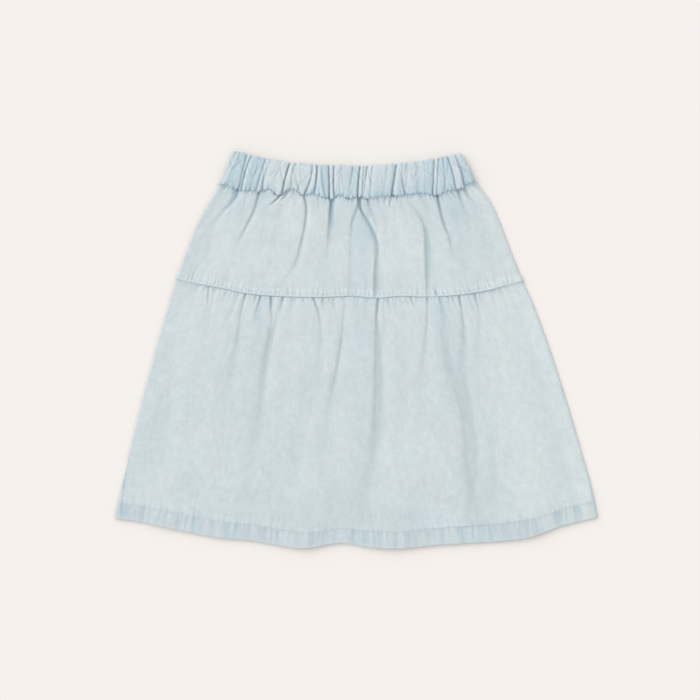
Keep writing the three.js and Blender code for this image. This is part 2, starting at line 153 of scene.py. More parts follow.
# Grooves between the waistband's gathers: x at the folded edge, half way and at the seam, depth at
# the edge and at the seam, half-width.
BAND_FRONT_GROOVES = [
    (-119.4, -124.5, -128.8, 1.5, 1.7, 0.9), (-114.4, -121.5, -126.4, 2.1, 2.5, 1),
    (-105, -110.5, -116.4, 0.9, 1.2, 1.5), (-98.4, -104.6, -109.6, 1.7, 1.7, 1.1),
    (-92, -100.2, -102.8, 0.4, 3.2, 1.4), (-72, -77.6, -81.4, 3.4, 3, 1),
    (-65.6, -70.2, -70.4, 1.7, 0.8, 0.9), (-64, -66, -60.8, 0.2, 1.5, 1),
    (-47.6, -49.8, -57, 1.8, 2.5, 1), (-42.6, -43.4, -46.4, 3.4, 2.4, 0.9),
    (-36.6, -37, -33, 1, 2.3, 1.1), (-30, -29.4, -29.2, 2.7, 3, 0.9),
    (-24, -24.6, -23.6, 2.2, 3, 0.9), (-14.6, -17.6, -17.2, 1, 1.2, 1.6),
    (-3, -5.5, -9.4, 2.3, 0.5, 1.1), (4.8, 2.8, 1.8, 3, 3.1, 0.85),
    (9.2, 7.6, 7.8, 1.6, 1.7, 0.85), (13, 10.2, 9.6, 2.7, 0.4, 0.85),
    (18.6, 16.6, 15.4, 1.5, 1, 1.1), (35.3, 32.4, 31, 1.4, 0.4, 1.4),
    (44.8, 41.8, 39.4, 2.5, 3.2, 1), (51.6, 51, 55, 0.4, 2.7, 1),
    (56.2, 54.2, 57.4, 1.5, 0.3, 0.9), (68, 68, 68.4, 1, 1, 1.8),
    (74.8, 76.4, 77, 1.1, 0.8, 1.4), (86, 85.2, 84.4, 2, 2.6, 0.9),
    (91, 89.8, 89, 1.9, 1.6, 0.9), (95.2, 97.2, 98.6, 1.5, 1.5, 0.85),
    (99.8, 106, 109.8, 2.1, 2.5, 1), (108, 115.2, 119.6, 1.8, 3.4, 1.2),
]

# Bulges of the waistband that kept more of their blue, with the grooves' columns.
BAND_BLUE = [
    (-125, -130, -134, 0.6, 0.8, 7), (-109.5, -115, -120, 0.7, 0.8, 3.6),
    (-101.5, -107, -112, 0.8, 0.7, 2.6), (-38, -39, -50, 0.1, 0.5, 6),
    (-33.2, -33.4, -31, 0.8, 0.9, 2.4), (-10, -10, -12, 0.3, 0.3, 6),
    (-0.6, -1.4, -2.8, 0.7, 0.3, 2.6), (24, 24, 24, 0, 0.5, 7), (42, 39.4, 37.2, 0.9, 0.9, 2.4),
    (50, 48, 50, 0.2, 0.6, 3), (66, 66, 66, 0.1, 0.4, 8), (80.6, 80.8, 80.8, 0.8, 0.8, 3.4),
    (93, 93.4, 93.6, 0.6, 0.6, 2), (97.4, 101.4, 104.2, 0.7, 0.8, 3.4),
    (112, 118, 124, 0.1, 0.4, 4),
]

# Where the waist seam is drawn tight into beads, which are painted dark with shade: x, strength,
# half-width.
SEAM_BEADS = [
    (-129, 0.8, 4), (-103, 0.5, 5), (-83, 1, 8), (-60, 0.8, 4.5), (-29, 1, 7), (-9, 0.6, 4.5),
    (6, 1, 6), (41, 0.9, 5), (87, 0.9, 4), (113, 0.8, 6),
]

# Troughs that the front's folds press into it, each a path down the cloth:
# x, y, depth, half-width to the left, half-width to the right.
UPPER_TROUGHS = [
    [(-130.4, 176, 3, 3.4, 2.8), (-133, 167, 2.6, 3, 2.6), (-139, 159.5, 1.9, 2.6, 2.2),
     (-151.3, 146.6, 1.3, 2.4, 2.2), (-161, 133, 0.7, 4, 4), (-170, 108, 0.4, 9, 8),
     (-181, 72, 0.2, 12, 10)],
    [(-106.4, 175, 2.4, 1.8, 2.2), (-108.4, 165, 1.8, 1.8, 2.4), (-112.3, 152.4, 1.7, 1.6, 2.6),
     (-120.5, 136.1, 1.3, 1.6, 3), (-127.7, 121.4, 0.6, 2.4, 4), (-134, 104, 0, 6, 6)],
    [(-82.5, 171, 2.8, 1.5, 1.7), (-86.5, 166.2, 2.4, 1.5, 1.7), (-92, 161, 1.5, 1.5, 2),
     (-95, 157.5, 0, 2, 2.4)],
    [(-76, 172, 1.8, 1.3, 1.5), (-80, 166.5, 1.4, 1.3, 1.6), (-85, 161, 0, 2, 2)],
    [(-78, 158, 0.5, 6, 6), (-84, 150, 0.5, 7, 7), (-90, 138, 0, 9, 9)],
    [(-57.5, 171, 2.4, 1.5, 2), (-54.7, 155.5, 2.2, 1.6, 2.2), (-56.3, 136.1, 1.9, 1.7, 3),
     (-61.2, 113.3, 1.6, 1.9, 4.4), (-66.9, 93.9, 1, 2.6, 6), (-73.4, 81, 0.6, 5, 7),
     (-79, 66, 0.3, 7, 7)],
    [(-27, 170, 3.4, 1.6, 2), (-27.6, 162, 3.2, 1.6, 3.6), (-28.7, 149, 2.7, 1.5, 7),
     (-29.6, 133, 1.9, 1.7, 10), (-30.4, 113.3, 0.9, 2.6, 11), (-31.4, 92, 0.4, 6, 11),
     (-32, 70, 0, 8, 10)],
    [(2.6, 168, 2.6, 1.4, 1.6), (1.6, 157, 1.8, 1.5, 3), (-4.1, 140.9, 1.6, 1.6, 6),
     (-5, 127.9, 1.1, 2.2, 8), (-5.7, 108.5, 0.9, 3, 8.5), (-6.5, 56, 0.8, 3.6, 9)],
    [(4, 168, 3, 1.4, 1.5), (5.6, 154, 2.6, 1.7, 1.4), (12.6, 142.6, 2.4, 3.4, 1.5),
     (20, 127.9, 2.6, 5, 2), (23.2, 113.3, 2.3, 4, 3.6), (22, 98, 1.9, 1.9, 6.5),
     (20.8, 84.2, 2, 1.6, 9), (20.6, 56, 2, 1.6, 10)],
    [(12.1, 167.5, 2.6, 1.6, 1.8), (14, 160, 1, 1.5, 1.8), (17.4, 151, 0.7, 1.6, 1.8),
     (21.6, 140, 0.5, 1.8, 2), (24.4, 124, 0.2, 2, 2.2), (25, 100, 0, 2.5, 3)],
    [(38.4, 170, 2.2, 1.5, 1.7), (37.6, 162, 1.3, 1.6, 1.9), (36, 152, 0, 3, 3)],
    [(32.6, 169.5, 1.5, 1.3, 1.4), (31.5, 162, 0.7, 1.5, 1.6), (30.5, 155, 0, 2, 2)],
    [(44.5, 170, 1.3, 1.3, 1.5), (46, 162, 0.6, 1.5, 1.8), (48, 153, 0, 2, 2)],
    [(51, 170.5, 0.9, 1.6, 3), (62, 157.3, 0.7, 2.4, 5), (70.4, 146, 1.3, 2.2, 7),
     (75.4, 134.4, 1.9, 1.8, 9), (77, 113.3, 2.2, 1.7, 10), (77.4, 94, 1.9, 1.7, 11),
     (78.7, 56, 1.5, 1.8, 12)],
    [(88.4, 171, 3.2, 1.6, 2.4), (90.6, 163, 2.8, 1.6, 2.4), (93.3, 150.7, 2.3, 1.6, 3),
     (97.4, 136.1, 1.9, 1.6, 4), (103, 121.4, 1.3, 1.8, 5), (105, 105.3, 0.5, 3, 6),
     (107, 92, 0, 5, 6)],
    [(111.5, 177, 2.6, 2, 2.2), (114.4, 168, 2, 2, 2.4), (117.4, 160, 1.1, 2.4, 3),
     (122, 146, 0.5, 5, 6), (126, 122, 0, 7, 7)],
    [(118, 178.6, 2.2, 1.6, 2), (122.4, 170, 1.4, 1.7, 2.2), (127, 162, 0, 3, 3)],
    [(-165, 150, 0, 8, 8), (-166, 128, 0.6, 9, 9), (-164, 96, 0.5, 11, 11), (-166, 70, 0.2, 12, 12)],
    [(87, 68, 0, 1.5, 1.5), (88.6, 62, 2.2, 1.2, 1.3), (89.6, 57, 2.6, 1.2, 1.3)],
    [(134, 150, 0.2, 8, 8), (140, 122, 0.5, 9, 9), (146, 92, 0.3, 10, 10), (150, 70, 0, 10, 10)],
    [(-140, 96, 0.2, 9, 9), (-143, 80, 0.5, 9, 9), (-146, 66, 0.5, 9, 9)],
    [(50, 120, 0, 9, 9), (50, 92, 0.4, 9, 9), (49, 62, 0.4, 10, 10)],
]
LOWER_TROUGHS = [
    [(-188.7, 77, 1.2, 1.4, 1.6), (-186.6, 70, 0.9, 1.5, 1.8), (-184, 61, 0, 3, 3)],
    [(-175.5, 74, 1.2, 1.4, 1.6), (-176, 67, 0.8, 1.5, 1.8), (-177, 60, 0, 3, 3)],
    [(-162.3, 71, 2.2, 1.2, 1.4), (-162.5, 60, 1.8, 1.3, 1.7), (-163.3, 48, 0.5, 2, 3),
     (-166, 30, 0.4, 8, 8), (-172, -10, 0.5, 12, 12), (-180, -60, 0.2, 14, 14)],
    [(-120.5, 64, 2.4, 1.3, 1.5), (-122.6, 55, 1.9, 1.3, 1.6), (-125.4, 45, 1.3, 1.8, 2.4),
     (-128.6, 27.5, 0.8, 3, 4), (-131.5, 5.5, 0.8, 5, 6), (-136, -16.5, 0.7, 8, 9),
     (-141, -50, 0.5, 11, 12), (-148, -110, 0.2, 14, 14)],
    [(-109, 63, 1.6, 1.2, 1.3), (-111, 55, 1, 1.3, 1.5), (-113, 48, 0, 2, 2)],
    [(-104.4, 62, 2.3, 1.2, 1.4), (-107, 51, 1.8, 1.3, 1.6), (-109.6, 41, 1, 2, 3),
     (-113, 26, 0.2, 5, 5)],
    [(-94, 61, 3.4, 1.2, 1.4), (-93.2, 52, 3.2, 1.3, 1.5), (-93.4, 45, 2, 1.8, 2.4),
     (-92.5, 33, 1.2, 4, 4.5), (-96.3, 5.5, 1.5, 5, 5), (-100.7, -22, 1.4, 6.5, 6),
     (-104, -55, 1.1, 8, 8), (-109.5, -92, 0.7, 11, 12), (-114, -140, 0.2, 14, 14)],
    [(-86.5, 40, 0, 3, 3), (-88, 30, 0.7, 2.6, 3), (-92, 10, 0.5, 3, 3.5), (-95, -8, 0, 4, 4)],
    [(-79.4, 61, 2.5, 1.2, 1.4), (-81, 51, 1.8, 1.3, 1.6), (-82.8, 42, 0.8, 1.8, 2.4),
     (-84, 32, 0, 3, 3.5)],
    [(-66, 60, 1.2, 1.2, 1.3), (-66, 53, 0.7, 1.3, 1.5), (-66, 46, 0, 2, 2)],
    [(-48.2, 60, 2.6, 1.3, 1.5), (-44.6, 51, 2.6, 1.3, 1.6), (-41.4, 42, 1.6, 1.6, 2),
     (-39.4, 32, 0.7, 2.4, 3), (-38.4, 14, 0.6, 4, 4.5), (-39, -4, 0.5, 6, 7),
     (-42, -40, 0.2, 9, 9)],
    [(-37.5, 59, 1.2, 1.2, 1.3), (-36, 52, 0.6, 1.3, 1.5), (-35, 46, 0, 2, 2)],
    [(-11.6, 60, 0.6, 1.8, 2), (-13, 42, 0.6, 2.2, 3), (-16, 11, 0.9, 2.4, 3.6),
     (-19.3, -11, 1.1, 2.4, 3.4), (-23.7, -33, 1, 3, 5), (-28, -55, 0.7, 6, 7),
     (-32, -92, 0.4, 8, 9), (-36, -140, 0.2, 10, 10)],
    [(24.4, 59, 3.6, 1.3, 1.5), (23.6, 46, 3.4, 1.4, 1.8), (22.8, 34, 2.2, 2.2, 3.6),
     (23.4, 17, 1.9, 3.8, 6.4), (24, -10, 2, 4.6, 8), (24, -33, 2, 5, 9),
     (23.5, -55, 1.8, 6, 10), (22, -88, 1.5, 8, 11), (18, -121, 1.2, 10, 11),
     (11.6, -154, 0.7, 10, 11), (8, -190, 0.5, 10, 11)],
    [(29, 62, 0.3, 2.4, 4), (30.5, 44, 0.7, 2.6, 4.5), (31, 22, 0.5, 3, 5), (31, 4, 0, 4, 6)],
    [(59, 60, 1.6, 1.2, 1.3), (62, 53, 1.5, 1.3, 1.4), (64.6, 47, 0.5, 1.8, 2), (66, 42, 0, 2.4, 2.6)],
    [(78.7, 60, 1.8, 1.3, 1.5), (78.7, 48, 1.3, 1.5, 1.8), (78.4, 30, 0.9, 2.6, 3),
     (76.5, 11, 0.8, 4, 4.5), (74.3, -11, 0.7, 5.5, 6), (72, -46, 0.4, 9, 9), (70, -90, 0.2, 11, 11)],
    [(91.4, 61, 2.6, 1.3, 1.6), (93.4, 50, 1.5, 1.6, 2.8), (96.3, 38.5, 0.8, 4, 6),
     (98, 5.5, 0.8, 7, 11), (103, -16.5, 1, 9, 13), (112, -38.5, 1.5, 10, 13),
     (119.5, -60, 1.8, 10, 12), (124.5, -90, 1.9, 11, 12), (128, -143, 1.8, 12, 13),
     (131, -190, 1.1, 12, 13)],
    [(150, -60, 0, 10, 10), (152, -100, 0.5, 10, 10), (150, -150, 0.6, 11, 11), (150, -190, 0.4, 11, 11)],
    [(100.5, 61, 1.4, 1.2, 1.3), (102.5, 54, 0.8, 1.3, 1.5), (104, 47, 0, 2, 2)],
    [(113.4, 61, 3, 1.2, 1.4), (114.6, 52, 2.8, 1.2, 1.5), (116.8, 42, 1.6, 1.6, 2.2),
     (118.3, 27.5, 1.2, 3, 4), (118.5, 5.5, 1.2, 5, 7), (118, -22, 1, 8, 9),
     (119, -50, 0.5, 10, 10), (120, -80, 0, 11, 11)],
    [(130.4, 64, 2.3, 1.3, 1.5), (132.2, 54, 1.6, 1.4, 1.8), (135, 44, 0.9, 2, 2.8),
     (136, 30, 0.6, 4, 5), (134, 8, 0.5, 6, 7), (134, -30, 0.2, 10, 10)],
    [(150, 66, 1.1, 1.4, 1.6), (152.6, 56, 0.5, 1.8, 2.2), (156, 44, 0, 4, 4)],
    [(166, 71, 1, 1.4, 1.5), (168.4, 62, 0.4, 1.8, 2), (171, 53, 0, 3, 3)],
    [(-60, -40, 0, 12, 12), (-66, -90, 0.5, 14, 14), (-70, -150, 0.3, 14, 14)],
    [(-196, -20, 0.1, 12, 12), (-210, -80, 0.6, 14, 14), (-222, -150, 0.3, 14, 14)],
    [(52, 10, 0, 12, 12), (50, -50, 0.5, 14, 14), (48, -110, 0.2, 14, 14)],
]

# Patches of the front that the wash left bluer (or, below 0, paler): x, y, half-width, half-height,
# strength.
WASH_PATCHES = [
    (-131, 158, 12, 14, 0.5), (-105, 166, 9, 12, 0.6), (-22, 142, 9, 20, 0.55),
    (8, 128, 11, 38, 0.6), (16, 134, 5, 18, 0.4), (9, 152, 7, 13, 0.9), (13, 80, 9, 30, 0.3),
    (106, 152, 18, 20, 0.7), (118, 122, 12, 26, 0.35), (84, 96, 7, 34, 0.3), (-131, 169, 3, 5, 0.6),
    (-70, 150, 22, 26, -0.35), (48, 118, 18, 40, -0.35), (-120, 96, 40, 22, -0.2),
    (-107, 35, 6, 28, 0.5), (-116, -15, 7, 34, 0.3), (-118, -70, 13, 42, 0.1),
    (-50, -30, 16, 34, 0.12), (4, 20, 12, 34, 0.3), (10, -60, 14, 60, 0.15), (95, 42, 7, 24, 0.6),
    (101, 0, 8, 34, 0.35), (104, -40, 12, 30, 0.15), (-150, -150, 70, 32, 0.12),
    (-60, -168, 50, 24, 0.12), (-4, -160, 24, 26, 0.25), (124, -186, 48, 10, 0.25),
    (60, -184, 40, 9, 0.35), (-29, 167, 6, 9, 0.5), (-98, 57, 12, 8, 0.5), (27, 54, 10, 8, 0.5),
    (88, 48, 12, 12, 0.3), (130, 60, 14, 8, 0.5),
    (-250, -110, 9, 60, 0.15), (-254.5, -176, 4, 8, 1.3), (-256, -146, 3, 8, 0.6),
    (54, -50, 24, 70, -0.1), (155, 30, 15, 40, -0.5), (172, -50, 17, 50, -0.5),
    (192, -130, 18, 46, -0.4), (-190, 10, 18, 50, -0.2),
]

# Broad rises of the front's lower edge, where its fullness stands off the back: x, height, half-width.
HEM_RISES = [
    (-214, 0.9, 30), (-150, 0.7, 20), (-58, 1.6, 26), (40, 1.7, 34), (112, 0.6, 22), (196, 1.1, 26),
]

# The left side seam rolls onto the front near the hem: where it starts, as a share of the lower
# tier's height, and how far it has gone at the hem line and at the hem's edge, along the cloth.
ROLL_STARTS = 0.785
ROLL_AT_HEM_LINE = 7.0
ROLL_AT_HEM_EDGE = 9.4


# ---- the grids ----


def spaced(*stretches):
    """Steps from 0 to 1, given as (end of stretch, number of steps in it), in order."""
    values = [0.0]
    for end, steps in stretches:
        start = values[-1]
        values += [mix(start, end, (i + 1) / steps) for i in range(steps)]
    return np.array(values)


def beside_fold(reach, radius):
    """The laid tube's outer face beside a side fold: x inwards, z, and the way out, (x, z).

    reach is measured along the cloth from the middle of the fold, positive towards the front.
    """
    angle = np.clip(reach / radius, -math.pi / 2, math.pi / 2)
    past_arc = np.abs(reach - angle * radius)
    x = radius * (1 - np.cos(angle)) + past_arc
    z = radius * (1 + np.sin(angle))
    return x, z, -np.cos(angle), np.sin(angle)


FAR = 99  # how far the right side fold is taken to be from the left seam


def lay_out(face, upper, lower, rows, columns, side_top, tucked=0, roll=None, edge_reach=7, turns=10):
    """The plain grid of one panel of the laid tube, between the lines upper and lower.

    side_top and roll give, for each row, the height of the laid tube at its side folds and how far
    the left seam has rolled; tucked is how far the panel runs on past its upper line; edge_reach is
    how far its side edges run in from the folds, and turns the number of columns round each fold.
    """
    t = rows[:, None]
    radius = side_top(rows)[:, None] / 2
    seam = np.zeros_like(t) if roll is None else roll(rows)[:, None]
    arc = radius * math.pi / 2
    left = LEFT_FOLD(mix(upper.left_y + tucked, lower.left_y, t))
    right = RIGHT_FOLD(mix(upper.right_y + tucked, lower.right_y, t))

    def edge(seam_reach):
        turned = np.linspace(0, 1, turns)[None, :]
        turn_end = seam_reach + arc if face == FRONT else -arc
        reach = mix(seam_reach, turn_end, turned)
        last = np.full_like(radius, face * edge_reach)
        return np.hstack([reach, last]), beside_fold(np.hstack([reach, last]), radius)

    left_reach, (left_x, left_z, left_out_x, left_out_z) = edge(seam)
    _, right_edge = edge(np.zeros_like(t))
    right_x, right_z, right_out_x, right_out_z = (part[:, ::-1] for part in right_edge)
    start = left + left_x[:, -1:]
    end = right - right_x[:, :1]
    share = np.linspace(0, 1, columns + 2)[None, 1:-1]
    middle_x = mix(start, end, share)
    zeros = np.zeros_like(middle_x)
    flat = zeros + (2 * radius if face == FRONT else 0)
    x = np.hstack([left + left_x, middle_x, right - right_x])
    z = np.hstack([left_z, flat, right_z])
    out_x = np.hstack([left_out_x, zeros, -right_out_x])
    out_z = np.hstack([left_out_z, zeros + face, right_out_z])
    top_y = upper.y_at(x[0]) + tucked
    low_y = lower.y_at(x[-1])
    y = mix(top_y[None, :], low_y[None, :], t)
    across = np.concatenate([[0], np.cumsum(np.hypot(np.diff(x[-1]), np.diff(z[-1])))])
    from_seam = np.hstack([np.abs(left_reach - seam), middle_x - left])
    return SimpleNamespace(
        face=face, t=t, x=x, y=y, z=z, out_x=out_x, out_z=out_z, height=np.zeros_like(x),
        from_left=x - start, from_right=end - x,
        top_x=np.broadcast_to(x[0], x.shape), low_x=np.broadcast_to(x[-1], x.shape),
        from_top=top_y[None, :] - y - tucked, from_low=y - low_y[None, :],
        from_seam=np.hstack([from_seam, np.full_like(right_x, FAR)]),
        across=np.broadcast_to(across[None, :], x.shape),
    )


def inside(grid, reach):
    """0 at the side folds, rising to 1 over a reach inwards."""
    return smoothstep(0, reach, grid.from_left) * smoothstep(0, reach, grid.from_right)


def surface(grid):
    """The points of a grid's outer face."""
    return np.stack(
        [grid.x + grid.out_x * grid.height, grid.y, grid.z + grid.out_z * grid.height], axis=-1
    )


# ---- folds and puckers ----


def troughs(paths, x, y):
    """How deep the folds along the given paths cut at each point: a crisp core, soft shoulders."""
    cut = np.zeros_like(x)
    for path in paths:
        points = np.array(path, dtype=float)
        heights = points[:, 1]
        middle, depth, left, right = (
            smooth_curve(list(zip(heights, points[:, column])))(y) for column in (0, 2, 3, 4)
        )
        fade = smoothstep(heights.min() - 5, heights.min() + 2, y)
        off = x - middle
        width = np.where(off < 0, np.maximum(left, 1), np.maximum(right, 1))
        crispness = mix(1.4, 2, smoothstep(2.5, 6, width))
        profile = 0.6 * np.exp(-np.abs(off / (0.75 * width)) ** crispness)
        profile += 0.4 * bell(off, 1.8 * width)
        cut += fade * np.maximum(depth, 0) * profile
    return cut


def puckers(along, away, pitch, depth, reach, seed, lean=0.18):
    """Small uneven tucks beside a seam, where along and away are measured from it."""
    chance = np.random.default_rng(seed)
    cut = np.zeros_like(along)
    place = along.min()
    while place < along.max():
        place += pitch * chance.uniform(0.6, 1.5)
        tuck_depth = depth * chance.uniform(0.35, 1.0)
        tuck_reach = reach * chance.uniform(0.4, 1.3)
        width = pitch * chance.uniform(0.16, 0.32)
        slant = chance.uniform(-lean, lean)
        near = np.abs(along - place) < 5 * width + 2 * tuck_reach * abs(slant)
        off = (along[near] - place - slant * away[near]) / width
        cut[near] += tuck_depth * np.exp(-off * off - np.abs(away[near] / tuck_reach) ** 1.5)
    return cut


def grooves(table, grid, sharpness, shoulder):
    """How deep the waistband's grooves cut, each along its own slant from edge to seam."""
    left, right, t = grid.x[:, :1], grid.x[:, -1:], grid.t
    cut = np.zeros_like(grid.x)
    share = (grid.x - left) / (right - left)
    for top, middle, low, top_depth, low_depth, width in table:
        places = [(value - left[row, 0]) / (right[row, 0] - left[row, 0])
                  for value, row in ((top, 0), (middle, len(t) // 2), (low, -1))]
        centre = places[0] * (1 - t) * (1 - 2 * t) + places[1] * 4 * t * (1 - t)
        centre += places[2] * t * (2 * t - 1)
        off = np.abs((share - centre) * (right - left) / width)
        profile = (1 - shoulder) * np.exp(-(off**sharpness)) + shoulder * bell(off, 2.6)
        cut += mix(top_depth, low_depth, t) * profile
    return cut


def beaded(x):
    """How tightly the waist seam is drawn in at each x."""
    drawn = sum(strength * hump(x, at_x, wide) for at_x, strength, wide in SEAM_BEADS)
    return np.minimum(0.12 + drawn, 1)


def hem_rise(x):
    return sum(height * hump(x, middle, width) for middle, height, width in HEM_RISES)


def blurred(values, spread):
    """A grid smoothed along its rows over so many of its steps."""
    for _ in range(round(2 * spread * spread)):
        padded = np.pad(values, ((0, 0), (1, 1)), mode="edge")
        values = (padded[:, :-2] + 2 * padded[:, 1:-1] + padded[:, 2:]) / 4
    return values


def crisper(height, spread, amount):
    """Steepens folds, so that cloth stands up beside each crease."""
    return height + amount * (height - blurred(height, spread))


def ridge_wear_crease_shade(height, spread, scale):
    """From -1 in creases, which are painted with shade, to 1 on ridges, which washing wears pale."""
    fine = (height - blurred(height, spread)) / scale
    broad = (height - blurred(height, 4 * spread)) / (3 * scale)
    return np.clip(0.75 * fine + 0.5 * broad, -1, 1)


def right_fold_painted_light(grid):
    """Painted light on the right side fold, which turns away from the key light: it is painted a little
    paler than the cloth beside it, against its shade.
    """
    return 0.6 * fade_out(grid.from_right, 3)


def washed(x, y):
    """How much bluer the wash left the front at each point."""
    return sum(
        strength * np.exp(-np.abs((x - at_x) / wide) ** 2.4 - np.abs((y - at_y) / high) ** 2.4)
        for at_x, at_y, wide, high, strength in WASH_PATCHES
    )


# ---- pieces ----

INNER_STEP = 3  # the inner face has a point for every third of the outer face's, each way
CUT_EDGE = math.radians(60)  # a sharper turn than this is a cut edge, and isn't shaded round


def kept(count):
    return np.unique(np.append(np.arange(0, count, INNER_STEP), count - 1))


def lowest_near(height):
    """Each point's lowest neighbour within one step of the inner face."""
    for axis in (0, 1):
        margins = [(0, 0), (0, 0)]
        margins[axis] = (INNER_STEP, INNER_STEP)
        padded = np.pad(height, margins, mode="edge")
        windows = np.lib.stride_tricks.sliding_window_view(padded, 2 * INNER_STEP + 1, axis=axis)
        height = windows.min(axis=-1)
    return height


def quads(index):
    """The faces of a grid of point numbers."""
    corners = (index[:-1, :-1], index[1:, :-1], index[1:, 1:], index[:-1, 1:])
    return np.stack(corners, axis=-1).reshape(-1, 4)


def rim(outer, inner, steps):
    """Faces between an edge of the outer face and the coarser one of the inner face."""
    faces = []
    for i, (start, end) in enumerate(zip(steps[:-1], steps[1:])):
        faces.append([*outer[start:end + 1], inner[i + 1], inner[i]])
    return faces


def wall_faces(rows, columns, row_steps, column_steps):
    """Faces of the outer, the inner and the four rim faces of a cloth wall, outer first."""
    outer = np.arange(rows * columns).reshape(rows, columns)
    inner = np.arange(len(row_steps) * len(column_steps)).reshape(len(row_steps), -1) + outer.size
    smooth = quads(outer).tolist() + quads(inner)[:, ::-1].tolist()
    low_rim = rim(outer[-1], inner[-1], column_steps)
    left_rim = rim(outer[:, 0], inner[:, 0], row_steps)
    flat = rim(outer[0], inner[0], column_steps) + rim(outer[:, -1], inner[:, -1], row_steps)
    flat += [face[::-1] for face in low_rim + left_rim]
    return smooth, flat


def add_object(name, data):
    made = bpy.data.objects.new(name, data)
    bpy.context.scene.collection.objects.link(made)
    return made


def cloth_wall(name, grid, wall):
    """A closed cloth wall on a grid, and which point of the grid each of its points belongs to."""
    rows, columns = grid.x.shape
    row_steps, column_steps = kept(rows), kept(columns)
    inner_at = np.ix_(row_steps, column_steps)
    depth = (lowest_near(grid.height) - wall)[inner_at]
    inner = np.stack([
        grid.x[inner_at] + grid.out_x[inner_at] * depth, grid.y[inner_at],
        grid.z[inner_at] + grid.out_z[inner_at] * depth,
    ], axis=-1)
    under = np.add.outer(row_steps * columns, column_steps).ravel()
    smooth, flat = wall_faces(rows, columns, row_steps, column_steps)
    faces = smooth + flat
    if grid.face == BACK:
        faces = [face[::-1] for face in faces]
    mesh = bpy.data.meshes.new(name)
    points = np.concatenate([surface(grid).reshape(-1, 3), inner.reshape(-1, 3)])
    mesh.from_pydata(points.tolist(), [], faces)
    mesh.polygons.foreach_set("use_smooth", [True] * len(smooth) + [False] * len(flat))
    mesh.set_sharp_from_angle(angle=CUT_EDGE)
    return mesh, np.concatenate([np.arange(rows * columns), under])


def cloth_piece(node, grid, wall, tones, material):
    """A cloth wall in place of a solid: the grid is its outer face, and wall its thickness."""
    mesh, source = cloth_wall(f"{node}_cloth", grid, wall)
    cloth = np.stack([grid.across, grid.from_top], axis=-1).reshape(-1, 2) * MM
    loops = np.empty(len(mesh.loops), dtype=np.int64)
    mesh.loops.foreach_get("vertex_index", loops)
    mesh.uv_layers.new(name="cloth").data.foreach_set("uv", cloth[source[loops]].ravel())
    for attribute, values in tones.items():
        layer = mesh.attributes.new(attribute, "FLOAT", "POINT")
        layer.data.foreach_set("value", values.ravel()[source].astype(np.float32))
    mesh.materials.append(material)
    piece = add_object(mesh.name, mesh)
    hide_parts(node)
    return piece


def rounded(distance, over):
    """0 at an edge, rising to 1 along a quarter of an ellipse within the distance over."""
    inward = np.clip(distance / over, 0, 1)
    return np.sqrt(np.maximum(0, 1 - (1 - inward) ** 2))


def cloth_tones(wear_and_painted_light, blue, crease_shade_and_dye):
    """What colours the denim: from painted shade in creases to rubbed pale, with painted light on the
    right fold and the hem's edge, how blue it is, and how dark a crease or seam is painted with shade,
    darker still where bluest.
    """
    return {"wear_and_painted_light": np.clip(wear_and_painted_light, -1, 1), "blue": np.clip(blue, 0, 1), "crease_shade_and_dye": np.clip(crease_shade_and_dye, 0, 1)}


SEAM_DEPTH = 0.17
# How dark the side seam's line is painted with shade.
SEAM_SHADE = 0.65


def seam_line(grid):
    """The broken line of the left side seam, where it has rolled onto the front."""
    drawn = puckers(grid.y, 0 * grid.y, 7, 1, 4, seed=8, lean=0)
    return bell(grid.from_seam, 0.9) * np.minimum(0.15 + drawn, 1)


def side_seam(grid):
    """The ditch and the puckers of that seam."""
    beside = puckers(grid.y, grid.from_seam, 4.2, 1.6, 5, seed=7, lean=0.5)
    return SEAM_DEPTH * (seam_line(grid) + beside)


def waistband(face):
    rows = spaced((0.12, 12), (0.82, 24), (1, 14))
    grid = lay_out(
        face, WAIST_EDGE, WAIST_SEAM, rows, 800 if face == FRONT else 320,
        lambda t: np.full_like(t, BAND_TOP), edge_reach=8, turns=14,
    )
    table = BAND_FRONT_GROOVES if face == FRONT else back_grooves()
    cut = grooves(table, grid, sharpness=1.2, shoulder=0.22)
    teeth = puckers(grid.low_x, grid.from_low, 4.2, 1.3, 2.6, seed=3 + face, lean=0.5)
    teeth += puckers(grid.low_x, grid.from_low, 7, 0.7, 9, seed=5 + face, lean=0.5)
    creases = puckers(grid.top_x, grid.from_top, 4.0, 1.1, 3.5, seed=13 + face, lean=0.6)
    creases += puckers(grid.top_x, grid.from_top - 15, 5.5, 0.7, 8, seed=17 + face, lean=0.8)
    swell = np.sin(math.pi * np.clip(mix(0.1, 0.95, grid.t), 0, 1)) ** 0.7
    from_fold = grid.x - grid.x[:, :1]
    clear_of_side = smoothstep(0, 5, from_fold - 2)
    relief = 1.2 * swell * inside(grid, 9) - 0.7 * cut * clear_of_side - teeth - creases
    if face == FRONT:
        end_ridge = hump(from_fold, mix(9, 5, grid.t), 1.8)
        relief = crisper(relief + 0.7 * end_ridge, 4, 0.7)
    else:
        relief = np.minimum(0, 0.75 * relief - 0.5)
    # The folded edge dips a little at each groove, and the seam is drawn up into teeth.
    grid.y = grid.y - 0.7 * np.minimum(cut + creases, 3) * fade_out(grid.from_top, 3)
    grid.y += 0.5 * teeth * fade_out(grid.from_low, 2)
    edge = rounded(grid.from_top + 0.15, 3.2) * rounded(grid.from_low + 0.5, 3.0)
    full = CASING + relief
    grid.height = relief - full * (1 - edge) * (0.62 if face == FRONT else 0.4)
    wall = full * mix(0.38, 1, edge) - (relief - lowest_near(relief))
    return grid, np.maximum(wall, 1), waistband_tones(grid, relief, teeth)


